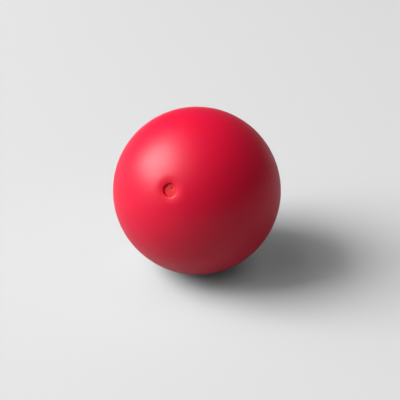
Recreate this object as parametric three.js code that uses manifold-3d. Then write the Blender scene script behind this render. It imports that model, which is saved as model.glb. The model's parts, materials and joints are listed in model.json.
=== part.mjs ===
// Massage ball: an air-filled ball of soft vinyl with a plugged inflation valve.
// Millimetres, +Z up. The ball rests on the flat that its own weight presses into it, the
// origin is the centre of that flat, and the valve faces -Y, a little above the horizontal.

import * as THREE from 'three';
import { ConvexGeometry } from 'three/addons/geometries/ConvexGeometry.js';
import { mergeVertices } from 'three/addons/utils/BufferGeometryUtils.js';
import Module from 'manifold-3d';

const wasm = await Module();
wasm.setup();

// ---- driving dimensions ----

const ballRadius = 50;
const wall = 2.5;
const restFlatRadius = 7.5;
const valveElevation = THREE.MathUtils.degToRad(29);
const gap = 0.3;              // clearance left between pieces that touch on the real object
const overrun = 0.5;          // how far a cut runs past the face it opens

const funnelRadius = 9.5;     // where the skin starts to dip towards the well
const funnelDepth = 0.6;      // how far the dip takes it below the round of the ball
const wellRadius = 3.85;
const lipWidth = 0.6;         // rounded lip between the funnel and the well
const lipHeight = 0.6;
const lipRoundness = 0.55;    // 0.55 turns the lip over a quarter of an ellipse

const headRecess = 2.05;      // plug head's face, below the crest of the ball
const headThickness = 1.3;
const headEdge = 0.3;
const stemRadius = 1.6;
const stemLength = 10.4;
const tipLength = 2.4;
const tipRadius = 0.9;
const gateRadius = 1.0;       // ball nose of the round moulding mark in the plug's head
const gateDepth = 0.3;
const gateOffset = { right: 0.95, up: 1.2 };
const stemRings = { first: 3.0, pitch: 2.4, count: 3, height: 1.1, chamfer: 0.3 };

const sleeveRadius = 2.75;
const sleeveBore = 2.15;
const sleeveMouth = 0.3;      // chamfer that leads the stem in
const sleeveFlange = 1.2;
const gripRings = { first: 2.0, pitch: 2.5, count: 3, height: 1.2, chamfer: 0.25 };
const socketRadius = 3.3;
const neckWall = 2.7;
const neckDepth = 15.65;      // inner end of the neck, below the crest of the ball
const neckFillet = 2.2;

const seal = {
  flangeRadius: 2.8,
  flangeThickness: 1.0,
  collarHeight: 2.0,
  boreRadius: 1.0,
  billRootRadius: 2.3,
  billLength: 4.8,
  billWidth: 4.4,
  billThickness: 1.1,
  slitWidth: 3.2,
  slitThickness: 0.3,
};

// ---- sizes worked out from them ----

const ballCentreHeight = Math.sqrt(ballRadius ** 2 - restFlatRadius ** 2);
const headTop = ballRadius - headRecess;
const headBottom = headTop - headThickness;
const sleeveTop = headBottom - gap;
const socketStep = sleeveTop - sleeveFlange - gap;
const neckEnd = ballRadius - neckDepth;
const neckRadius = socketRadius + neckWall;
const sleeveEnd = neckEnd - gap;
const sealTop = sleeveEnd - gap;
const sealCollarRadius = sleeveBore - gap;
const plugHeadRadius = wellRadius - gap;
const ringRadius = sleeveBore - gap;
const gripRadius = socketRadius - gap;

// ---- facets ----

const skinSegments = 60;
const cavitySegments = 40;
const valveSegments = 32;

const materials = {
  ball: new THREE.MeshStandardMaterial({ color: 0xd2203c, roughness: 0.5, metalness: 0 }),
  plug: new THREE.MeshStandardMaterial({ color: 0xcf2a34, roughness: 0.6, metalness: 0 }),
  sleeve: new THREE.MeshStandardMaterial({ color: 0xd8d2c4, roughness: 0.5, metalness: 0 }),
  seal: new THREE.MeshStandardMaterial({ color: 0x2c2b29, roughness: 0.8, metalness: 0 }),
};

// ---- profiles ----
// A profile lies in the valve's own half plane: x is the distance from the valve's axis, and
// y the distance from the ball's centre along it, positive towards the mouth of the well.

const point = (x, y) => new THREE.Vector2(x, y);

function ballArc(radius, fromDegrees, toDegrees, steps) {
  const points = [];
  for (let i = 0; i <= steps; i += 1) {
    const angle = THREE.MathUtils.degToRad(fromDegrees + ((toDegrees - fromDegrees) * i) / steps);
    points.push(point(radius * Math.cos(angle), radius * Math.sin(angle)));
  }
  return points;
}

function heightOnBall(radius, x) {
  return Math.sqrt(radius ** 2 - x ** 2);
}

function angleOnBall(radius, x) {
  return THREE.MathUtils.radToDeg(Math.acos(x / radius));
}

// The skin dips into the funnel without a crease and turns over the lip into the well.
function funnelAndLip() {
  const rimRadius = wellRadius + lipWidth;
  const skinHeight = (x) => {
    const dip = (funnelRadius - x) / (funnelRadius - rimRadius);
    return heightOnBall(ballRadius, x) - funnelDepth * dip ** 2;
  };
  const steps = 4;
  const funnel = [];
  for (let i = 1; i <= steps; i += 1) {
    const x = THREE.MathUtils.lerp(funnelRadius, rimRadius, i / steps);
    funnel.push(point(x, skinHeight(x)));
  }
  const rim = funnel[steps - 1];
  const slope = (2 * funnelDepth) / (funnelRadius - rimRadius)
    - rimRadius / heightOnBall(ballRadius, rimRadius);
  const over = lipRoundness * lipWidth;
  const lipBottom = rim.y - lipHeight;
  const lip = new THREE.CubicBezierCurve(
    rim,
    point(rimRadius - over, rim.y - slope * over),
    point(wellRadius, lipBottom + lipRoundness * lipHeight),
    point(wellRadius, lipBottom),
  );
  return [...funnel, ...lip.getPoints(5).slice(1)];
}

// Everything inside the outer surface, with the well and the socket as a blind hole.
function skinProfile() {
  const socketFloor = neckEnd - overrun;
  return [
    ...ballArc(ballRadius, -90, 0, 16),
    ...ballArc(ballRadius, 0, angleOnBall(ballRadius, funnelRadius), 15).slice(1),
    ...funnelAndLip(),
    point(wellRadius, socketStep),
    point(socketRadius, socketStep),
    point(socketRadius, socketFloor),
    point(0, socketFloor),
  ];
}

// The air chamber, which surrounds the neck and joins the blind hole at the neck's end.
function cavityProfile() {
  const innerRadius = ballRadius - wall;
  const filletX = neckRadius + neckFillet;
  const onSkin = point(filletX, heightOnBall(innerRadius, filletX));
  const corner = point(neckRadius, heightOnBall(innerRadius, neckRadius));
  const onNeck = point(neckRadius, corner.y - neckFillet);
  const fillet = new THREE.QuadraticBezierCurve(onSkin, corner, onNeck);
  return [
    ...ballArc(innerRadius, -90, angleOnBall(innerRadius, filletX), 22),
    ...fillet.getPoints(3).slice(1),
    point(neckRadius, neckEnd),
    point(0, neckEnd),
  ];
}

// A row of low rings round a stem or a sleeve, counted from its inner end.
function ringRow(row, end, coreRadius, outerRadius) {
  const points = [];
  for (let i = 0; i < row.count; i += 1) {
    const bottom = end + row.first + i * row.pitch;
    const top = bottom + row.height;
    points.push(point(coreRadius, bottom));
    points.push(point(outerRadius, bottom + row.chamfer));
    points.push(point(outerRadius, top - row.chamfer));
    points.push(point(coreRadius, top));
  }
  return points;
}

function sleeveProfile() {
  const flangeBottom = sleeveTop - sleeveFlange;
  return [
    point(sleeveBore, sleeveEnd),
    point(sleeveRadius, sleeveEnd),
    ...ringRow(gripRings, sleeveEnd, sleeveRadius, gripRadius),
    point(sleeveRadius, flangeBottom),
    point(plugHeadRadius, flangeBottom),
    point(plugHeadRadius, sleeveTop),
    point(sleeveBore + sleeveMouth, sleeveTop),
    point(sleeveBore, sleeveTop - sleeveMouth),
    point(sleeveBore, sleeveEnd),
  ];
}

function plugProfile() {
  const tip = headBottom - stemLength;
  const roundedEdge = new THREE.QuadraticBezierCurve(
    point(plugHeadRadius, headTop - headEdge),
    point(plugHeadRadius, headTop),
    point(plugHeadRadius - headEdge, headTop),
  );
  return [
    point(0, tip),
    point(tipRadius, tip),
    point(stemRadius, tip + tipLength),
    ...ringRow(stemRings, tip, stemRadius, ringRadius),
    point(stemRadius, headBottom),
    point(plugHeadRadius, headBottom),
    ...roundedEdge.getPoints(3),
    point(0, headTop),
  ];
}

function sealCollarProfile() {
  const flangeBottom = sealTop - seal.flangeThickness;
  return [
    point(0, flangeBottom),
    point(seal.flangeRadius, flangeBottom),
    point(seal.flangeRadius, sealTop),
    point(sealCollarRadius, sealTop),
    point(sealCollarRadius, sealTop + seal.collarHeight),
    point(0, sealTop + seal.collarHeight),
  ];
}

// ---- booleans ----

function toSolid(geometry) {
  const bare = geometry.clone();
  bare.deleteAttribute('normal');
  bare.deleteAttribute('uv');
  const merged = mergeVertices(bare);
  return new wasm.Manifold(new wasm.Mesh({
    numProp: 3,
    vertProperties: new Float32Array(merged.getAttribute('position').array),
    triVerts: new Uint32Array(merged.getIndex().array),
  }));
}

function toGeometry(solid) {
  const mesh = solid.getMesh();
  const geometry = new THREE.BufferGeometry();
  geometry.setAttribute('position', new THREE.BufferAttribute(new Float32Array(mesh.vertProperties), 3));
  geometry.setIndex(new THREE.BufferAttribute(new Uint32Array(mesh.triVerts), 1));
  return geometry;
}

// ---- pieces ----

const valveFrame = new THREE.Matrix4()
  .makeRotationX(Math.PI - valveElevation)
  .setPosition(0, 0, ballCentreHeight);

function halfSpaceBelow(z) {
  const size = 3 * ballRadius;
  return toSolid(new THREE.BoxGeometry(size, size, size).translate(0, 0, z - size / 2));
}

function ballShell() {
  const skin = new THREE.LatheGeometry(skinProfile(), skinSegments).applyMatrix4(valveFrame);
  const cavity = new THREE.LatheGeometry(cavityProfile(), cavitySegments).applyMatrix4(valveFrame);
  const chamber = toSolid(cavity).subtract(halfSpaceBelow(wall));
  return toGeometry(toSolid(skin).subtract(halfSpaceBelow(0)).subtract(chamber));
}

function valveSleeve() {
  return new THREE.LatheGeometry(sleeveProfile(), valveSegments);
}

function valvePlug() {
  const gate = new THREE.SphereGeometry(gateRadius, 16, 12);
  gate.translate(gateOffset.right, headTop + gateRadius - gateDepth, -gateOffset.up);
  const blank = new THREE.LatheGeometry(plugProfile(), valveSegments);
  return toGeometry(toSolid(blank).subtract(toSolid(gate)));
}

// A round root that flattens to a straight edge: the outside and the inside of the seal's bill.
function billShape(rootRadius, rootY, edgeWidth, edgeThickness, edgeY) {
  const points = [];
  for (let i = 0; i < valveSegments; i += 1) {
    const angle = (2 * Math.PI * i) / valveSegments;
    points.push(new THREE.Vector3(rootRadius * Math.cos(angle), rootY, rootRadius * Math.sin(angle)));
  }
  for (const x of [-edgeWidth / 2, edgeWidth / 2]) {
    for (const z of [-edgeThickness / 2, edgeThickness / 2]) {
      points.push(new THREE.Vector3(x, edgeY, z));
    }
  }
  return toSolid(new ConvexGeometry(points));
}

function checkSeal() {
  const flangeBottom = sealTop - seal.flangeThickness;
  const billTop = flangeBottom + seal.flangeThickness / 2;
  const billEdge = flangeBottom - seal.billLength;
  const collar = toSolid(new THREE.LatheGeometry(sealCollarProfile(), valveSegments));
  const bill = billShape(seal.billRootRadius, billTop, seal.billWidth, seal.billThickness, billEdge);
  const boreTop = sealTop + seal.collarHeight + overrun;
  const boreHeight = boreTop - flangeBottom;
  const bore = toSolid(
    new THREE.CylinderGeometry(seal.boreRadius, seal.boreRadius, boreHeight, valveSegments)
      .translate(0, boreTop - boreHeight / 2, 0),
  );
  const slit = billShape(
    seal.boreRadius,
    flangeBottom + overrun,
    seal.slitWidth,
    seal.slitThickness,
    billEdge - overrun,
  );
  return toGeometry(collar.add(bill).subtract(bore).subtract(slit));
}

// ---- the assembly ----

function named(name, geometry, material) {
  const mesh = new THREE.Mesh(geometry, material);
  mesh.name = name;
  return mesh;
}

const valve = new THREE.Group();
valveFrame.decompose(valve.position, valve.quaternion, valve.scale);
valve.add(named('valve_sleeve', valveSleeve(), materials.sleeve));
valve.add(named('check_seal', checkSeal(), materials.seal));
valve.add(named('valve_plug', valvePlug(), materials.plug));

const massageBall = new THREE.Group();
massageBall.add(named('ball_shell', ballShell(), materials.ball));
massageBall.add(valve);

export default massageBall;
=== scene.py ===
"""Looks of the massage ball: fine meshes, materials, a plain studio and the camera.

Metres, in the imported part's own frame: +Z up, the ball rests on z = 0 and its valve faces -Y.
"""

import json
import math

import bpy
import numpy as np
from mathutils import Matrix, Vector


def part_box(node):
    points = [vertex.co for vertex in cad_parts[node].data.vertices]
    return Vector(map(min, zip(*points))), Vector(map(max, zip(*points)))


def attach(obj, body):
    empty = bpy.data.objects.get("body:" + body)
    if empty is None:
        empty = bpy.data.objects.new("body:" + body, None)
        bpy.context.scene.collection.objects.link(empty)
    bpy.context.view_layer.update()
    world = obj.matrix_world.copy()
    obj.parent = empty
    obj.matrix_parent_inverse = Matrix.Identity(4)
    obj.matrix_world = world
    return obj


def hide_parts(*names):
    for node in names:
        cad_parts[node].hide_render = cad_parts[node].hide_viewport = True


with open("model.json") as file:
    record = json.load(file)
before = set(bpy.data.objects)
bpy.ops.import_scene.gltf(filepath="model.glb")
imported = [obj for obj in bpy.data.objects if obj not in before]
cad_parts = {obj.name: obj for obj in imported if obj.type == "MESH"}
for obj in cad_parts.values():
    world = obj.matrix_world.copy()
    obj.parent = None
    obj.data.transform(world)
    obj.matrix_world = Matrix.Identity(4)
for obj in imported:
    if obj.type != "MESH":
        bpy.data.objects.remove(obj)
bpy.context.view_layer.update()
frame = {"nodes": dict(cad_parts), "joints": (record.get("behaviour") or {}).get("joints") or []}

MM = 0.001

# ---- sizes from the frame ----

shell_low, shell_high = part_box("ball_shell")
plug_low, plug_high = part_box("valve_plug")
pull = next(joint for joint in frame["joints"] if joint["name"] == "plug_pull")

BALL_RADIUS = (shell_high.x - shell_low.x) / 2
BALL_CENTRE = Vector((0, 0, shell_high.z - BALL_RADIUS))
HEAD_RADIUS = (plug_high.x - plug_low.x) / 2

# The valve's own axes: x to its right, y up the ball, z out of the well.
VALVE_OUT = Vector(pull["axis"]).normalized()
VALVE_RIGHT = Vector((1, 0, 0))
VALVE_UP = VALVE_OUT.cross(VALVE_RIGHT)
VALVE_FRAME = Matrix.Translation(BALL_CENTRE) @ Matrix(
    (VALVE_RIGHT, VALVE_UP, VALVE_OUT)
).transposed().to_4x4()


def span(node):
    """Lowest and highest point of a CAD node along the valve's axis, from the ball's centre."""
    heights = [(v.co - BALL_CENTRE).dot(VALVE_OUT) for v in frame["nodes"][node].data.vertices]
    return min(heights), max(heights)


PLUG_TIP, PLUG_TOP = span("valve_plug")
SLEEVE_END, SLEEVE_TOP = span("valve_sleeve")
SEAL_END, SEAL_TOP = span("check_seal")

GAP = 0.3 * MM
WALL = 2.5 * MM
TINY = 1e-9

# The well, from the dish in the skin down to the end of the neck.
WELL_RADIUS = HEAD_RADIUS + GAP
FUNNEL_RADIUS = 9.5 * MM
FUNNEL_DEPTH = 0.6 * MM
LIP_WIDTH = 0.6 * MM
LIP_HEIGHT = 0.6 * MM
LIP_ROUNDNESS = 0.55
RIM_RADIUS = WELL_RADIUS + LIP_WIDTH
SLEEVE_FLANGE = 1.2 * MM
SOCKET_STEP = SLEEVE_TOP - SLEEVE_FLANGE - GAP
SOCKET_RADIUS = 3.3 * MM
NECK_WALL = 2.7 * MM
NECK_RADIUS = SOCKET_RADIUS + NECK_WALL
NECK_END = SLEEVE_END + GAP
NECK_FILLET = 2.2 * MM
NECK_EDGE = 0.25 * MM
HEAD_THICKNESS = 1.3 * MM
SLEEVE_BORE = 2.15 * MM

# ---- mesh helpers ----


def arc(radius, start, end, steps):
    """Points on a circle in a profile's half plane, angles in degrees from the outward radius."""
    angles = np.radians(np.linspace(start, end, steps + 1))
    return [(radius * math.cos(a), radius * math.sin(a)) for a in angles]


def bezier(points, steps):
    """A Bezier curve through the first and last of 3 or 4 points."""
    order = len(points) - 1
    weights = [math.comb(order, i) for i in range(order + 1)]
    curve = []
    for t in np.linspace(0, 1, steps + 1):
        terms = [w * (1 - t) ** (order - i) * t**i for i, w in enumerate(weights)]
        curve.append(tuple(sum(term * p[k] for term, p in zip(terms, points)) for k in (0, 1)))
    return curve


def rounded(corners, radius, steps=4):
    """A polyline whose inner corners are rounded; its two ends stay where they are."""
    path = [corners[0]]
    for before, corner, after in zip(corners, corners[1:], corners[2:]):
        before, corner, after = Vector(before), Vector(corner), Vector(after)
        back, ahead = before - corner, after - corner
        reach = min(radius, back.length / 2, ahead.length / 2)
        path += bezier(
            [
                tuple(corner + back.normalized() * reach),
                tuple(corner),
                tuple(corner + ahead.normalized() * reach),
            ],
            steps,
        )
    return path + [corners[-1]]


def mesh_object(name, vertices, faces, smooth_below=50):
    """One closed mesh in the row frame, smooth but for edges sharper than the angle given."""
    mesh = bpy.data.meshes.new(name)
    mesh.from_pydata([tuple(v) for v in vertices], [], faces)
    mesh.validate()
    mesh.shade_smooth()
    mesh.set_sharp_from_angle(angle=math.radians(smooth_below))
    piece = bpy.data.objects.new(name, mesh)
    bpy.context.scene.collection.objects.link(piece)
    return piece


def outward(vertices, faces):
    """The faces, turned round if they enclose a negative volume."""
    volume = 0.0
    points = np.asarray(vertices)
    for face in faces:
        a, b, c = points[face[0]], points[face[1]], points[face[2]]
        volume += np.dot(a, np.cross(b, c))
        if len(face) == 4:
            volume += np.dot(a, np.cross(c, points[face[3]]))
    return faces if volume > 0 else [tuple(reversed(face)) for face in faces]


def loft(rings, segments, closed):
    """Vertices and faces through rings of (half width, half height, z) about the valve's axis.

    A ring of no size is one point. A closed loft joins its last ring to its first.
    """
    vertices, spans = [], []
    for half_width, half_height, z in rings:
        start = len(vertices)
        if max(half_width, half_height) < TINY:
            vertices.append((0.0, 0.0, z))
            spans.append((start, 1))
            continue
        for i in range(segments):
            a = 2 * math.pi * i / segments
            vertices.append((half_width * math.cos(a), half_height * math.sin(a), z))
        spans.append((start, segments))
    pairs = list(zip(spans, spans[1:]))
    if closed:
        pairs.append((spans[-1], spans[0]))
    faces = []
    for (low, low_count), (high, high_count) in pairs:
        for i in range(segments):
            j = (i + 1) % segments
            if low_count == 1:
                faces.append((low, high + j, high + i))
            elif high_count == 1:
                faces.append((low + i, low + j, high))
            else:
                faces.append((low + i, low + j, high + j, high + i))
    return np.array(vertices), faces


def lathe(profile, segments):
    """A turned body from a profile of (radius, z), which ends on the axis or meets itself."""
    closed = profile[0][0] > TINY
    if closed and math.dist(profile[0], profile[-1]) < TINY:
        profile = profile[:-1]
    return loft([(r, r, z) for r, z in profile], segments, closed)


def to_row(vertices):
    """From the valve's own axes to the row frame."""
    matrix = np.array(VALVE_FRAME)
    return vertices @ matrix[:3, :3].T + matrix[:3, 3]


# ---- the ball's skin ----

SKIN_SEGMENTS = 192
BACK_STEPS = 70
MOULD_LINE_STEPS = 16
FRONT_STEPS = 66
FUNNEL_STEPS = 18
LIP_STEPS = 16
FILLET_STEPS = 6
INSIDE_STEPS = 48

MOULD_LINE_HEIGHT = 0.035 * MM
MOULD_LINE_WIDTH = 0.3 * MM
CONTACT_SOFTNESS = 0.25 * MM


def on_sphere(sphere_radius, radius):
    """How high over its middle a sphere is, at a distance from its axis."""
    return math.sqrt(sphere_radius**2 - radius**2)


def skin_height(radius):
    """Height of the skin over the valve's own plane: the ball's round, less the funnel's dip."""
    dip = max(0.0, (FUNNEL_RADIUS - radius) / (FUNNEL_RADIUS - RIM_RADIUS))
    return on_sphere(BALL_RADIUS, radius) - FUNNEL_DEPTH * dip**2


def skin_outside():
    """From the far pole over the mould line to the funnel's edge."""
    edge_angle = math.degrees(math.acos(FUNNEL_RADIUS / BALL_RADIUS))
    ridge = 3 * MOULD_LINE_WIDTH / BALL_RADIUS
    ridge_angle = math.degrees(ridge)
    points = arc(BALL_RADIUS, -90, -ridge_angle, BACK_STEPS)
    for angle in np.linspace(-ridge, ridge, MOULD_LINE_STEPS + 1)[1:-1]:
        across = angle * BALL_RADIUS / MOULD_LINE_WIDTH
        radius = BALL_RADIUS + MOULD_LINE_HEIGHT * math.exp(-(across**2))
        points.append((radius * math.cos(angle), radius * math.sin(angle)))
    return points + arc(BALL_RADIUS, ridge_angle, edge_angle, FRONT_STEPS)


def funnel_and_lip():
    """Down the funnel, round the lip and into the well."""
    radii = np.linspace(FUNNEL_RADIUS, RIM_RADIUS, FUNNEL_STEPS + 1)
    funnel = [(r, skin_height(r)) for r in radii[1:]]
    (x0, z0), (x1, z1) = funnel[-2:]
    slope = (z1 - z0) / (x1 - x0)
    bottom = z1 - LIP_HEIGHT
    over = (RIM_RADIUS - LIP_ROUNDNESS * LIP_WIDTH, z1 - slope * LIP_ROUNDNESS * LIP_WIDTH)
    down = (WELL_RADIUS, bottom + LIP_ROUNDNESS * LIP_HEIGHT)
    lip = bezier([funnel[-1], over, down, (WELL_RADIUS, bottom)], LIP_STEPS)
    return funnel + lip[1:]


def skin_profile():
    """Once round the skin: outside, down the well, round the neck and back along the inside."""
    inner_radius = BALL_RADIUS - WALL
    fillet_radius = NECK_RADIUS + NECK_FILLET
    neck_root = (NECK_RADIUS, on_sphere(inner_radius, NECK_RADIUS))
    fillet_end = (fillet_radius, on_sphere(inner_radius, fillet_radius))
    inside_angle = math.degrees(math.acos(fillet_radius / inner_radius))
    outside = skin_outside() + funnel_and_lip()
    well = rounded(
        [
            (WELL_RADIUS, outside[-1][1]),
            (WELL_RADIUS, SOCKET_STEP),
            (SOCKET_RADIUS, SOCKET_STEP),
            (SOCKET_RADIUS, NECK_END),
            (NECK_RADIUS, NECK_END),
            (NECK_RADIUS, neck_root[1] - NECK_FILLET),
        ],
        NECK_EDGE,
    )
    fillet = bezier([well[-1], neck_root, fillet_end], FILLET_STEPS)
    inside = arc(inner_radius, inside_angle, -90, INSIDE_STEPS)
    return outside + well[1:] + fillet[1:] + inside[1:]


def settle(height, floor):
    """Where the skin lies once its own weight has pressed it flat on a floor."""
    above = height - floor
    soft = CONTACT_SOFTNESS
    eased = np.where(above < -soft, 0.0, (above + soft) ** 2 / (4 * soft))
    return floor + np.where(above > soft, above, eased)


def make_skin():
    """The hollow skin with its neck, pressed flat where it rests on the floor."""
    profile = skin_profile()
    profile[0] = (0.0, profile[0][1])
    profile[-1] = (0.0, profile[-1][1])
    vertices, faces = lathe(profile, SKIN_SEGMENTS)
    vertices = to_row(vertices)
    from_centre = np.linalg.norm(vertices - np.array(BALL_CENTRE), axis=1)
    inside = from_centre < BALL_RADIUS - WALL / 2
    heights = vertices[:, 2]
    vertices[:, 2] = np.where(inside, settle(heights, WALL), settle(heights, 0.0))
    return mesh_object("moulded_skin", vertices, outward(vertices, faces))


# ---- the plug, the bush and the seal ----

VALVE_SEGMENTS = 128

STEM_RADIUS = 1.6 * MM
STEM_RINGS = {"first": 0.6 * MM, "pitch": 2.4 * MM, "count": 3}
STEM_RING_HEIGHT = 1.1 * MM
STEM_RING_CHAMFER = 0.3 * MM
TIP_RADIUS = 0.9 * MM
TIP_LENGTH = 2.4 * MM
HEAD_EDGE = 0.25 * MM
HEAD_CLEARANCE = 0.06 * MM
FACE_RADIUS = WELL_RADIUS - HEAD_CLEARANCE
FACE_STEPS = 32

# The round moulding mark in the head: a shallow bowl with a soft edge.
GATE_PLACE = (0.95 * MM, 1.2 * MM)
GATE_RADIUS = 1.1 * MM
GATE_DEPTH = 0.4 * MM


def grip_rings(foot, places, core, outer, height, chamfer):
    """Outline of the chamfered rings round a stem or bush, from the foot upwards."""
    points = []
    for i in range(places["count"]):
        bottom = foot + places["first"] + i * places["pitch"]
        points += [
            (core, bottom),
            (outer, bottom + chamfer),
            (outer, bottom + height - chamfer),
            (core, bottom + height),
        ]
    return points


def make_plug():
    """The head with its moulding mark, and the ringed stem that ends in a blunt cone."""
    head_bottom = PLUG_TOP - HEAD_THICKNESS
    stem_foot = PLUG_TIP + TIP_LENGTH
    ring_radius = SLEEVE_BORE - GAP
    rings = grip_rings(
        stem_foot, STEM_RINGS, STEM_RADIUS, ring_radius, STEM_RING_HEIGHT, STEM_RING_CHAMFER
    )
    flat_radius = FACE_RADIUS - 2 * HEAD_EDGE
    outline = rounded(
        [
            (0.0, PLUG_TIP),
            (TIP_RADIUS, PLUG_TIP),
            (STEM_RADIUS, stem_foot),
            *rings,
            (STEM_RADIUS, head_bottom),
            (HEAD_RADIUS, head_bottom),
            (FACE_RADIUS, PLUG_TOP - HEAD_THICKNESS / 2),
            (FACE_RADIUS, PLUG_TOP),
            (flat_radius, PLUG_TOP),
        ],
        HEAD_EDGE,
    )
    face = [(r, PLUG_TOP) for r in np.linspace(flat_radius, 0, FACE_STEPS + 1)[1:]]
    vertices, faces = lathe(outline + face, VALVE_SEGMENTS)
    on_face = vertices[:, 2] > PLUG_TOP - TINY
    across, along = vertices[:, 0] - GATE_PLACE[0], vertices[:, 1] - GATE_PLACE[1]
    away = np.minimum(np.hypot(across, along) / GATE_RADIUS, 1)
    bowl = (1 - away**2) ** 1.5
    vertices[:, 2] -= np.where(on_face, GATE_DEPTH * bowl, 0.0)
    return mesh_object("plug", to_row(vertices), outward(vertices, faces))


BUSH_RADIUS = 2.75 * MM
BUSH_RINGS = {"first": 2.0 * MM, "pitch": 2.5 * MM, "count": 3}
BUSH_RING_HEIGHT = 1.2 * MM
BUSH_RING_CHAMFER = 0.25 * MM
BUSH_MOUTH = 0.3 * MM
BUSH_EDGE = 0.15 * MM


def make_bush():
    """A flanged tube with grip rings outside and a lead-in chamfer at its mouth."""
    grip_radius = SOCKET_RADIUS - GAP
    rings = grip_rings(
        SLEEVE_END, BUSH_RINGS, BUSH_RADIUS, grip_radius, BUSH_RING_HEIGHT, BUSH_RING_CHAMFER
    )
    flange_bottom = SLEEVE_TOP - SLEEVE_FLANGE
    middle = (SLEEVE_BORE, (SLEEVE_TOP + SLEEVE_END) / 2)
    outline = rounded(
        [
            middle,
            (SLEEVE_BORE, SLEEVE_END),
            (BUSH_RADIUS, SLEEVE_END),
            *rings,
            (BUSH_RADIUS, flange_bottom),
            (HEAD_RADIUS, flange_bottom),
            (HEAD_RADIUS, SLEEVE_TOP),
            (SLEEVE_BORE + BUSH_MOUTH, SLEEVE_TOP),
            (SLEEVE_BORE, SLEEVE_TOP - BUSH_MOUTH),
            middle,
        ],
        BUSH_EDGE,
    )
    vertices, faces = lathe(outline, VALVE_SEGMENTS)
    return mesh_object("valve_bush", to_row(vertices), outward(vertices, faces))


SEAL_FLANGE_RADIUS = 2.8 * MM
SEAL_FLANGE_THICKNESS = 1.0 * MM
SEAL_COLLAR_HEIGHT = 2.0 * MM
SEAL_BORE = 1.0 * MM
BILL_ROOT_RADIUS = 2.3 * MM
BILL_HALF_SIZE = (2.2 * MM, 0.5 * MM)
SLIT_HALF_SIZE = (1.6 * MM, 0.12 * MM)
SEAL_EDGE = 0.2 * MM
BILL_STEPS = 14


def bill_ring(radius, half_size, top, t):
    """A ring of the bill, which goes from round at its top, t = 0, to flat at its lips, t = 1."""
    half_width, half_height = (radius + (half - radius) * t for half in half_size)
    return half_width, half_height, top + (SEAL_END - top) * t


def make_seal():
    """A collar and flange that taper into two lips, with the bore closing to a slit."""
    collar = SLEEVE_BORE - GAP
    flange_top = SEAL_TOP - SEAL_COLLAR_HEIGHT
    flange_bottom = flange_top - SEAL_FLANGE_THICKNESS
    body = rounded(
        [
            (SEAL_BORE, SEAL_TOP - SEAL_COLLAR_HEIGHT / 2),
            (SEAL_BORE, SEAL_TOP),
            (collar, SEAL_TOP),
            (collar, flange_top),
            (SEAL_FLANGE_RADIUS, flange_top),
            (SEAL_FLANGE_RADIUS, flange_bottom),
            (BILL_ROOT_RADIUS, flange_bottom),
        ],
        SEAL_EDGE,
    )
    rings = [(r, r, z) for r, z in body]
    for i in range(1, BILL_STEPS + 1):
        rings.append(bill_ring(BILL_ROOT_RADIUS, BILL_HALF_SIZE, flange_bottom, i / BILL_STEPS))
    for i in range(BILL_STEPS, -1, -1):
        rings.append(bill_ring(SEAL_BORE, SLIT_HALF_SIZE, flange_bottom, i / BILL_STEPS))
    vertices, faces = loft(rings, VALVE_SEGMENTS, closed=True)
    return mesh_object("duckbill_seal", to_row(vertices), outward(vertices, faces))


# ---- materials ----

BALL_RED = (0.69, 0.002, 0.037)
PLUG_RED = (0.66, 0.018, 0.026)
BUSH_COLOUR = (0.62, 0.57, 0.47)
SEAL_COLOUR = (0.025, 0.024, 0.023)

# Most of a noise's values lie between these two.
NOISE_BAND = (0.3, 0.7)

# What the surface of soft vinyl shows: its grain, the ripple that the mould leaves, clouds of
# slightly deeper colour, and handling marks that polish it along their length.
GRAIN_SIZE = 0.35 * MM
GRAIN_DEPTH = 0.004 * MM
GRAIN_BAND = (0.35, 0.65)
GRAIN_SHADE = 0.94
GRAIN_ROUGHNESS = 0.03
RIPPLE_SIZE = 5 * MM
RIPPLE_DEPTH = 0.02 * MM
CLOUD_SIZE = 26 * MM
CLOUD_SHADE = 0.93
CLOUD_ROUGHNESS = 0.02
RUB_SIZE = 9 * MM
RUB_STRETCH = (1.0, 5.0, 2.0)
RUB_BAND = (0.56, 0.72)
RUB_POLISH = 0.04

# How far light spreads inside the vinyl, by colour, as a share of the scale.
GLOW = 0.9
GLOW_RADIUS = (1.0, 0.10, 0.08)
GLOW_SCALE = 1.8 * MM

# Painted light: what the ball throws onto others is not its own colour. Onto the floor it throws
# a bright neutral grey. That keeps the floor and its shadow neutral, as in a retouched product
# picture, and lightens that shadow. Inside the well, where pieces light each other, it throws a
# red brighter than its own, which lightens the shade there.
PAINTED_BOUNCE_GREY = (0.95, 0.95, 0.95)
PAINTED_WELL_BOUNCE = (0.95, 0.0, 0.01)
WELL_REACH = 9 * MM

# The floor's board: its tooth, and clouds that change its tone by very little.
TOOTH_SIZE = 0.8 * MM
TOOTH_DEPTH = 0.01 * MM
BOARD_CLOUD_SIZE = 300 * MM
BOARD_CLOUD_SHADE = 0.995
BOARD_ROUGHNESS = (0.86, 0.94)
BOARD_SPECULAR = 0.2


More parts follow.
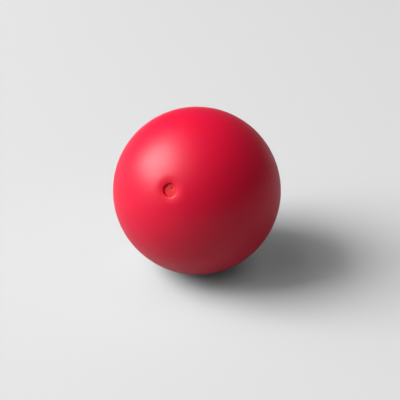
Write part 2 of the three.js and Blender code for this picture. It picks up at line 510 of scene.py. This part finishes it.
class Graph:
    """A material's node graph, written as calls that return output sockets."""

    def __init__(self, name):
        self.material = bpy.data.materials.new(name)
        self.material.use_nodes = True
        self.tree = self.material.node_tree
        self.tree.nodes.clear()
        self.place = self.node("ShaderNodeTexCoord").outputs["Object"]

    def node(self, kind, **inputs):
        """A new node, with a number, a colour or another node's output for each input."""
        made = self.tree.nodes.new(kind)
        for name, value in inputs.items():
            self.put(made.inputs[name.replace("_", " ")], value)
        return made

    def put(self, socket, value):
        if isinstance(value, bpy.types.NodeSocket):
            self.tree.links.new(value, socket)
        else:
            socket.default_value = value

    def noise(self, size, detail=2.0, roughness=0.5, place=None):
        """Noise between 0 and 1 whose lumps are about the size given."""
        made = self.node(
            "ShaderNodeTexNoise", Vector=place or self.place, Scale=1 / size, Detail=detail
        )
        made.inputs["Roughness"].default_value = roughness
        return made.outputs["Fac"]

    def stretched(self, scale):
        """The place, scaled along each axis, so that a noise read there has long lumps."""
        made = self.node("ShaderNodeMapping", Vector=self.place, Scale=scale)
        return made.outputs["Vector"]

    def math(self, operation, a, b):
        made = self.tree.nodes.new("ShaderNodeMath")
        made.operation = operation
        self.put(made.inputs[0], a)
        self.put(made.inputs[1], b)
        return made.outputs[0]

    def remap(self, value, band, to_low, to_high):
        """A value that runs over the band given, brought to run over another one."""
        made = self.node(
            "ShaderNodeMapRange",
            Value=value,
            From_Min=band[0],
            From_Max=band[1],
            To_Min=to_low,
            To_Max=to_high,
        )
        return made.outputs["Result"]

    def mix(self, factor, a, b):
        made = self.tree.nodes.new("ShaderNodeMix")
        made.data_type = "RGBA"
        self.put(made.inputs["Factor"], factor)
        self.put(made.inputs["A"], a)
        self.put(made.inputs["B"], b)
        return made.outputs["Result"]

    def bump(self, height, distance, strength=1.0, normal=None):
        made = self.node("ShaderNodeBump", Height=height, Strength=strength, Distance=distance)
        if normal is not None:
            self.put(made.inputs["Normal"], normal)
        return made.outputs["Normal"]

    def camera_ray(self):
        """1 for the surface as the camera sees it, 0 for what it throws onto others."""
        return self.node("ShaderNodeLightPath").outputs["Is Camera Ray"]

    def diffuse_ray(self):
        """1 for the light a surface throws onto others, 0 for the surface as it is seen."""
        return self.node("ShaderNodeLightPath").outputs["Is Diffuse Ray"]

    def away_from_well(self):
        """1 outside a ball of WELL_REACH round the plug's head, 0 inside it."""
        apart = self.tree.nodes.new("ShaderNodeVectorMath")
        apart.operation = "DISTANCE"
        self.put(apart.inputs[0], self.place)
        apart.inputs[1].default_value = tuple(VALVE_FRAME @ Vector((0, 0, PLUG_TOP)))
        return self.math("GREATER_THAN", apart.outputs["Value"], WELL_REACH)

    def finish(self, colour, roughness, normal, specular, glow=0.0):
        """The material, with what is the same all over it set on the shader's own sockets."""
        shader = self.node("ShaderNodeBsdfPrincipled", Roughness=roughness, Normal=normal)
        self.put(shader.inputs["Base Color"], colour)
        shader.inputs["Specular IOR Level"].default_value = specular
        shader.inputs["Subsurface Weight"].default_value = glow
        shader.inputs["Subsurface Radius"].default_value = GLOW_RADIUS
        shader.inputs["Subsurface Scale"].default_value = GLOW_SCALE
        output = self.node("ShaderNodeOutputMaterial")
        self.tree.links.new(shader.outputs[0], output.inputs["Surface"])
        return self.material


def shade(colour, factor):
    return (colour[0] * factor, colour[1] * factor, colour[2] * factor, 1.0)


def vinyl(name, colour, roughness, specular=0.5):
    """Satin soft vinyl: fine grain, a faint ripple from the mould, slight handling marks and
    painted bounce light.
    """
    g = Graph(name)
    cloud = g.noise(CLOUD_SIZE, detail=3)
    ripple = g.noise(RIPPLE_SIZE, detail=2)
    fine = g.noise(GRAIN_SIZE, detail=3, roughness=0.6)
    rub = g.noise(RUB_SIZE, detail=4, place=g.stretched(RUB_STRETCH))

    grain = g.remap(fine, GRAIN_BAND, 0.0, 0.5)
    grained = g.mix(grain, shade(colour, 1.0), shade(colour, GRAIN_SHADE))
    clouded = g.remap(cloud, NOISE_BAND, 0.0, 1.0)
    seen = g.mix(g.math("MULTIPLY", clouded, 0.5), grained, shade(colour, CLOUD_SHADE))
    # painted light: the bright grey and red that the ball throws onto the floor and into the
    # well, not its own colour
    painted_bounce = g.mix(g.away_from_well(), shade(PAINTED_WELL_BOUNCE, 1.0), shade(PAINTED_BOUNCE_GREY, 1.0))

    smoothest, roughest = roughness - CLOUD_ROUGHNESS, roughness + CLOUD_ROUGHNESS
    unworn = g.remap(cloud, NOISE_BAND, smoothest, roughest)
    polish = g.math("MULTIPLY", g.remap(rub, RUB_BAND, 0.0, 1.0), RUB_POLISH)
    speckle = g.remap(fine, NOISE_BAND, -GRAIN_ROUGHNESS, GRAIN_ROUGHNESS)
    rough = g.math("ADD", g.math("SUBTRACT", unworn, polish), speckle)

    rippled = g.bump(ripple, RIPPLE_DEPTH, strength=0.5)
    normal = g.bump(fine, GRAIN_DEPTH, normal=rippled)
    return g.finish(g.mix(g.diffuse_ray(), seen, painted_bounce), rough, normal, specular, GLOW)


def paper(name, seen, shines):
    """A pale matt studio floor with the faint tooth of coated board.

    The camera sees one grey and the light that the floor throws back has another.
    """
    g = Graph(name)
    tooth = g.noise(TOOTH_SIZE, detail=3)
    clouded = g.remap(g.noise(BOARD_CLOUD_SIZE, detail=2), NOISE_BAND, 0.0, 1.0)
    seen_grey, shining_grey = (seen, seen, seen), (shines, shines, shines)
    board = g.mix(clouded, shade(seen_grey, 1.0), shade(seen_grey, BOARD_CLOUD_SHADE))
    colour = g.mix(g.camera_ray(), shade(shining_grey, 1.0), board)
    rough = g.remap(tooth, NOISE_BAND, *BOARD_ROUGHNESS)
    normal = g.bump(tooth, TOOTH_DEPTH, strength=0.5)
    return g.finish(colour, rough, normal, BOARD_SPECULAR)


def dress(piece, material, body, node):
    """Gives a piece its material and the body it moves with, and hides the CAD node it stands
    for.
    """
    piece.data.materials.append(material)
    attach(piece, body)
    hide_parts(node)


skin_material = vinyl("ball_vinyl", BALL_RED, roughness=0.40, specular=0.38)
plug_material = vinyl("plug_vinyl", PLUG_RED, roughness=0.6, specular=0.3)
bush_material = vinyl("bush_vinyl", BUSH_COLOUR, roughness=0.5)
seal_material = vinyl("seal_rubber", SEAL_COLOUR, roughness=0.75)

dress(make_skin(), skin_material, "ball", "ball_shell")
dress(make_plug(), plug_material, "plug", "valve_plug")
dress(make_bush(), bush_material, "ball", "valve_sleeve")
dress(make_seal(), seal_material, "ball", "check_seal")

# ---- studio ----

CAMERA_AZIMUTH = 20.6
CAMERA_ELEVATION = 30.3
CAMERA_DISTANCE = 14 * BALL_RADIUS
CAMERA_LENS = 105.6
AIM_RIGHT = 1.83 * MM
AIM_DOWN = 5.59 * MM

# The floor is lifted, as in a retouched picture: it looks lighter than the light it throws.
FLOOR_SIZE = 7.0
FLOOR_SEEN = 0.55
FLOOR_SHINES = 0.30


def direction(azimuth, elevation):
    """A unit vector towards a compass place: azimuth 0 is the -Y side, 90 the +X side."""
    a, e = math.radians(azimuth), math.radians(elevation)
    return Vector((math.sin(a) * math.cos(e), -math.cos(a) * math.cos(e), math.sin(e)))


def make_camera():
    """Looks at the ball from the valve's side, with the aim a little off its middle."""
    data = bpy.data.cameras.new("camera")
    data.lens = CAMERA_LENS
    data.sensor_width = 36
    camera = bpy.data.objects.new("camera", data)
    bpy.context.scene.collection.objects.link(camera)
    back = direction(CAMERA_AZIMUTH, CAMERA_ELEVATION)
    right = Vector((0, 0, 1)).cross(back).normalized()
    up = back.cross(right)
    camera.location = BALL_CENTRE + back * CAMERA_DISTANCE
    aim = BALL_CENTRE + right * AIM_RIGHT - up * AIM_DOWN
    camera.rotation_mode = "QUATERNION"
    camera.rotation_quaternion = (aim - camera.location).to_track_quat("-Z", "Y")
    bpy.context.scene.camera = camera


def softbox(name, azimuth, elevation, width, radiance, distance=5.0, reflected=True):
    """A square lamp facing the ball, placed round from the camera; its width is an angle."""
    data = bpy.data.lights.new(name, "AREA")
    data.shape = "SQUARE"
    data.size = 2 * distance * math.tan(math.radians(width / 2))
    data.energy = radiance * math.pi * data.size**2
    lamp = bpy.data.objects.new(name, data)
    bpy.context.scene.collection.objects.link(lamp)
    towards = direction(CAMERA_AZIMUTH + azimuth, elevation)
    lamp.location = BALL_CENTRE + towards * distance
    lamp.rotation_mode = "QUATERNION"
    lamp.rotation_quaternion = towards.to_track_quat("Z", "Y")
    lamp.visible_glossy = reflected


def make_floor():
    half = FLOOR_SIZE / 2
    corners = [(-half, -half, 0), (half, -half, 0), (half, half, 0), (-half, half, 0)]
    mesh = bpy.data.meshes.new("floor")
    mesh.from_pydata(corners, [], [(0, 1, 2, 3)])
    floor = bpy.data.objects.new("floor", mesh)
    bpy.context.scene.collection.objects.link(floor)
    mesh.materials.append(paper("floor_paper", FLOOR_SEEN, FLOOR_SHINES))


def make_world(ambient, backdrop):
    """A dim grey surround that looks like the floor's far edge to the camera itself."""
    world = bpy.data.worlds.new("studio")
    world.use_nodes = True
    tree = world.node_tree
    tree.nodes.clear()
    path = tree.nodes.new("ShaderNodeLightPath")
    seen = tree.nodes.new("ShaderNodeBackground")
    seen.inputs["Color"].default_value = (backdrop, backdrop, backdrop, 1)
    surround = tree.nodes.new("ShaderNodeBackground")
    surround.inputs["Color"].default_value = (ambient, ambient, ambient, 1)
    mix = tree.nodes.new("ShaderNodeMixShader")
    output = tree.nodes.new("ShaderNodeOutputWorld")
    tree.links.new(path.outputs["Is Camera Ray"], mix.inputs["Fac"])
    tree.links.new(surround.outputs[0], mix.inputs[1])
    tree.links.new(seen.outputs[0], mix.inputs[2])
    tree.links.new(mix.outputs[0], output.inputs["Surface"])
    bpy.context.scene.world = world


make_camera()
make_floor()
make_world(ambient=0.085, backdrop=0.72)
softbox("key", azimuth=-88, elevation=41, width=36, radiance=11.2)
softbox("surround", azimuth=-87, elevation=43, width=68, radiance=1.3, distance=5.2)
softbox("side", azimuth=90, elevation=60, width=36, radiance=1.15, reflected=False)

view = bpy.context.scene.view_settings
view.view_transform = "Standard"
view.look = "None"
